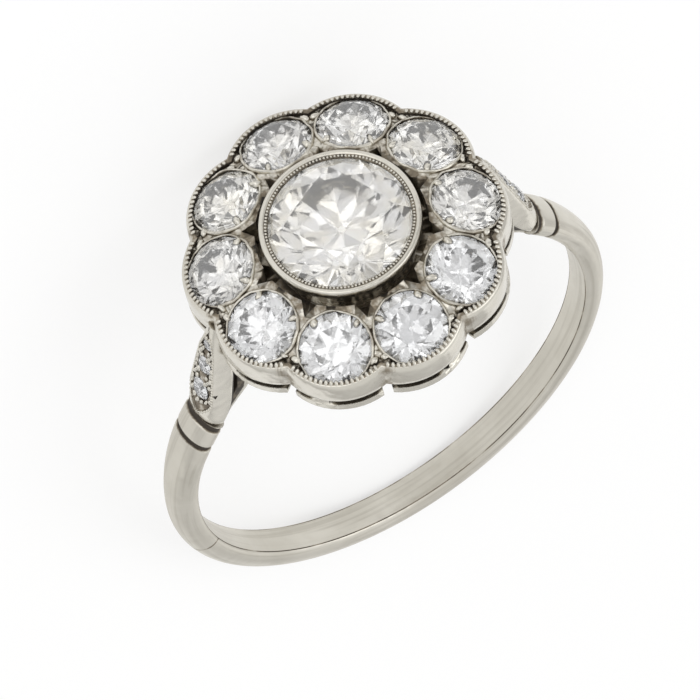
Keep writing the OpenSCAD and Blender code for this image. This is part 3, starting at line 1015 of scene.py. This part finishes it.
# Beaded edge of the petals
petalBeads = {"perPetal": 18, "inset": 0.175, "size": (0.115, 0.078, 0.070), "spread": 43.0, "height": 11.335}


def makePetalBeads():
    bead = makeGrain(petalBeads["size"])
    beads = []
    count = petalBeads["perPetal"]
    arc = head["petalRadius"] - petalBeads["inset"]
    for k in range(count):
        turn = math.radians(petalBeads["spread"] * (2 * (k + 0.5) / count - 1))
        spot = (head["petalCentre"] + arc * math.cos(turn), arc * math.sin(turn), petalBeads["height"])
        beads.append(copyPiece(bead, Matrix.Translation(spot) @ Matrix.Rotation(turn, 4, "Z") @ leanOut))
    throwAway(bead)
    row = joinAll(beads, "petal_beads")
    fixPlace(row)
    dropOnDome(row, lambda height: 1)
    repeatRound(row, head["stones"])
    settle(row, beadMetal)


makeBand()
makePetalBeads()
print("band and its beads made")

# Collet of the centre stone, turned as on a lathe, with its beaded lip
colletLook = {
    "steps": 144,
    # radius and height
    "profile": ((2.46, 10.30), (2.545, 10.60), (2.705, 11.20), (2.876, 11.85), (2.985, 12.26), (3.022, 12.37),
                (3.042, 12.42), (3.044, 12.68), (3.034, 12.745), (3.008, 12.782), (2.97, 12.797),
                (2.905, 12.80), (2.868, 12.79), (2.845, 12.765), (2.80, 12.745), (2.72, 12.73),
                (2.697, 12.715), (2.692, 12.66), (2.86, 12.52), (2.86, 12.42), (2.62, 12.20),
                (2.16, 10.66), (2.16, 10.30)),
    # dirt and painted shade under the beads, a clean inside, and darkening that grows down the wall towards
    # its foot
    "lipFoot": 12.65, "beadReach": 2.84, "beadDirtAndShade": 0.6, "insideDirt": -1,
    "wallDarkLeast": 0.05, "wallDarkMore": 0.22, "wallDarkTop": 12.2, "wallDarkFade": 1.2,
}
colletBeads = {"count": 128, "radius": 2.775, "size": (0.062, 0.056, 0.05), "height": 12.748}


def colletDirtAndShade(spot, way):
    look = colletLook
    if spot.z > look["lipFoot"]:
        return look["beadDirtAndShade"] if math.hypot(spot.x, spot.y) < look["beadReach"] else 0.0
    if way.x * spot.x + way.y * spot.y < 0:
        return look["insideDirt"]
    depth = (look["wallDarkTop"] - spot.z) / look["wallDarkFade"]
    return look["wallDarkLeast"] + look["wallDarkMore"] * easeIn(depth)


def makeCollet():
    collet = addLoop([(r, 0, height) for r, height in colletLook["profile"]])
    nameAs(collet, "collet")
    spinLoop(collet, colletLook["steps"], 2 * math.pi)
    paintDirtAndShade(collet, colletDirtAndShade)
    settle(collet, colletMetal, 50)


def makeColletBeads():
    bead = makeGrain(colletBeads["size"])
    nameAs(bead, "collet_beads")
    bead.location = (colletBeads["radius"], 0, colletBeads["height"])
    repeatRound(bead, colletBeads["count"])
    settle(bead, beadMetal)


makeCollet()
makeColletBeads()
print("collet and beads set")

# Uneven lip of metal pushed up round each cluster stone
lipLook = {
    "steps": 64, "wobble": 0.055, "waves": 2.6, "leastPush": -0.02, "filmAndShade": 0.16,
    # distance from the stone's axis, and height above its girdle
    "profile": ((1.40, -0.05), (1.388, 0.04), (1.352, 0.10), (1.362, 0.14), (1.405, 0.155), (1.445, 0.12),
                (1.468, 0.05), (1.475, -0.05)),
    # steps through the noise: from lip to lip, and from the push outwards to the rise
    "lipStep": (9, 0, 0), "riseStep": (0, 40, 0),
}


def makeSeatLips():
    look = lipLook
    lip = addLoop([(r, 0, height) for r, height in look["profile"]])
    spinLoop(lip, look["steps"], 2 * math.pi)
    place = Matrix.Translation((head["clusterRadius"], 0, head["girdle"]))
    lips = []
    for number in range(head["stones"]):
        turn = Matrix.Rotation(petalStep * (number + 0.5), 4, "Z")
        twin = copyPiece(lip, turn @ place @ leanOut)
        for vertex in twin.data.vertices:
            if vertex.co.z < 0:
                continue
            spot = vertex.co * look["waves"] + number * Vector(look["lipStep"])
            push = look["wobble"] * noise.noise(spot)
            rise = look["wobble"] * noise.noise(spot + Vector(look["riseStep"]))
            outward = Vector((vertex.co.x, vertex.co.y, 0)).normalized()
            vertex.co += outward * max(push, look["leastPush"]) + Vector((0, 0, rise))
        lips.append(twin)
    throwAway(lip)
    row = joinAll(lips, "seat_lips")
    paintDirtAndShade(row, lambda spot, way: look["filmAndShade"])
    settle(row, beadMetal, 60)


# Grains that hold the cluster stones, two beside each hollow and two at each notch
grainLook = {
    "seed": 7, "wobble": 0.16, "raised": 0.03, "shift": 0.06, "swing": 0.5, "twist": 18,
    # radius, turn from the line between two stones, size, and turn of the grain itself
    "inner": (3.98, 6.2, (0.25, 0.15, 0.17), 35),
    "outer": (5.33, 2.5, (0.20, 0.14, 0.14), 70),
}


def makeStoneGrains():
    look = grainLook
    luck = random.Random(look["seed"])
    grain = makeGrain((1, 1, 1))
    shift, swing, twist, raised = look["shift"], look["swing"], look["twist"], look["raised"]
    grains = []
    for gap in range(head["stones"]):
        for side, kind in ((-1, "inner"), (-1, "outer"), (1, "inner"), (1, "outer")):
            r, offset, size, own = look[kind]
            r += luck.uniform(-shift, shift)
            turn = petalStep * gap + math.radians(side * (offset + luck.uniform(-swing, swing)))
            place = Matrix.Translation((r * math.cos(turn), r * math.sin(turn), plateHeight(r) + raised))
            own = Matrix.Rotation(math.radians(side * own + luck.uniform(-twist, twist)), 4, "Z")
            scale = luckySize(luck, size)
            twin = copyPiece(grain, place @ Matrix.Rotation(turn, 4, "Z") @ leanOut @ own @ scale)
            roughen(twin, luck, look["wobble"])
            grains.append(twin)
    throwAway(grain)
    settle(joinAll(grains, "stone_grains"), beadMetal)


makeSeatLips()
makeStoneGrains()
print("lips and grains set")

# Stones: clear ones, and a few with a warm or a grey tint
stoneLooks = {
    "center_stone": warmStone, "cluster_stone_01": warmStone, "cluster_stone_04": warmStone,
    "cluster_stone_02": greyStone, "cluster_stone_03": greyStone, "cluster_stone_05": greyStone,
    "cluster_stone_10": greyStone,
}
for name in frame["nodes"]:
    if "stone" in name:
        for slot in bpy.data.objects[name].material_slots:
            slot.material = stoneLooks.get(name, clearStone)
print("stones finished")

# Floor
floorLook = {
    "size": 0.9, "cloud": (6, 2), "stops": [(0.3, (0.36, 0.36, 0.357)), (0.7, (0.38, 0.38, 0.38))],
    "rough": 0.75, "specular": 0.1, "glow": 0.63,
}
floorPaint, floorTree, floorShader, floorPlace = newMaterial("floorPaint")
floorCloud = addNoise(floorTree, floorPlace, *floorLook["cloud"])
floorTone = addRamp(floorTree, floorCloud, floorLook["stops"])
floorTree.links.new(floorTone, floorShader.inputs["Base Color"])
floorShader.inputs["Roughness"].default_value = floorLook["rough"]
floorShader.inputs["Specular IOR Level"].default_value = floorLook["specular"]
floorShader.inputs["Emission Color"].default_value = (1, 1, 1, 1)
floorShader.inputs["Emission Strength"].default_value = floorLook["glow"]
deselectAll()
bpy.ops.mesh.primitive_plane_add(size=floorLook["size"], location=(0, 0, 0))
floor = bpy.context.object
floor.name = "floor"
floor.data.materials.append(floorPaint)

# Sky and lights of a small studio
skyLook = {
    "strength": 0.92,
    # colours from the horizon upwards
    "stops": [(0.0, (0.55, 0.54, 0.53)), (0.18, (0.72, 0.72, 0.72)), (0.6, (1.0, 1.0, 1.0))],
    # one darker patch: its direction, its soft edge as cosines, and how much light is left in it
    "patch": (0.152, -0.709, 0.688), "patchEdge": (0.955, 0.985), "patchLight": (1.0, 0.7),
}
lightLook = {
    "aim": (0, 0, 0.005),
    # name: place, size and power
    "keyLight": ((0.16, -0.44, 0.20), 0.40, 0.36),
    "sideLight": ((-0.30, -0.05, 0.42), 0.34, 0.34),
    "backLight": ((-0.30, 0.42, 0.10), 0.26, 0.10),
}
world = bpy.data.worlds.new("studio")
bpy.context.scene.world = world
world.use_nodes = True
skyTree = world.node_tree
skyTree.nodes.clear()
skyOut = skyTree.nodes.new("ShaderNodeOutputWorld")
sky = skyTree.nodes.new("ShaderNodeBackground")
sky.inputs["Strength"].default_value = skyLook["strength"]
skyTree.links.new(sky.outputs["Background"], skyOut.inputs["Surface"])
skyWay = skyTree.nodes.new("ShaderNodeTexCoord").outputs["Generated"]
skySplit = skyTree.nodes.new("ShaderNodeSeparateXYZ")
skyTree.links.new(skyWay, skySplit.inputs["Vector"])
skyColour = addRamp(skyTree, skySplit.outputs["Z"], skyLook["stops"])
toPatch = addVectorMath(skyTree, "DOT_PRODUCT", skyWay, Vector(skyLook["patch"]).normalized())
patchShade = addRange(skyTree, toPatch, *skyLook["patchEdge"], *skyLook["patchLight"])
skyTree.links.new(addVectorMath(skyTree, "MULTIPLY", skyColour, patchShade), sky.inputs["Color"])

for name in ("keyLight", "sideLight", "backLight"):
    place, size, power = lightLook[name]
    bpy.ops.object.light_add(type="AREA", location=place)
    light = bpy.context.object
    light.name = name
    light.data.size = size
    light.data.energy = power
    light.rotation_euler = (Vector(lightLook["aim"]) - Vector(place)).to_track_quat("-Z", "Y").to_euler()

cameraLook = {
    "place": (0.070483, -0.325900, 0.318892), "turn": (-38.7951, -27.9834, 161.8273),
    "lens": 627.73, "sensor": 36, "nearest": 0.01,
}
turn = [math.radians(angle) for angle in cameraLook["turn"]]
bpy.ops.object.camera_add(location=cameraLook["place"], rotation=turn)
camera = bpy.context.object
camera.name = "photoCamera"
camera.data.sensor_width = cameraLook["sensor"]
camera.data.lens = cameraLook["lens"]
camera.data.clip_start = cameraLook["nearest"]
bpy.context.scene.camera = camera
bpy.context.scene.view_settings.view_transform = "Standard"
print("stage set")
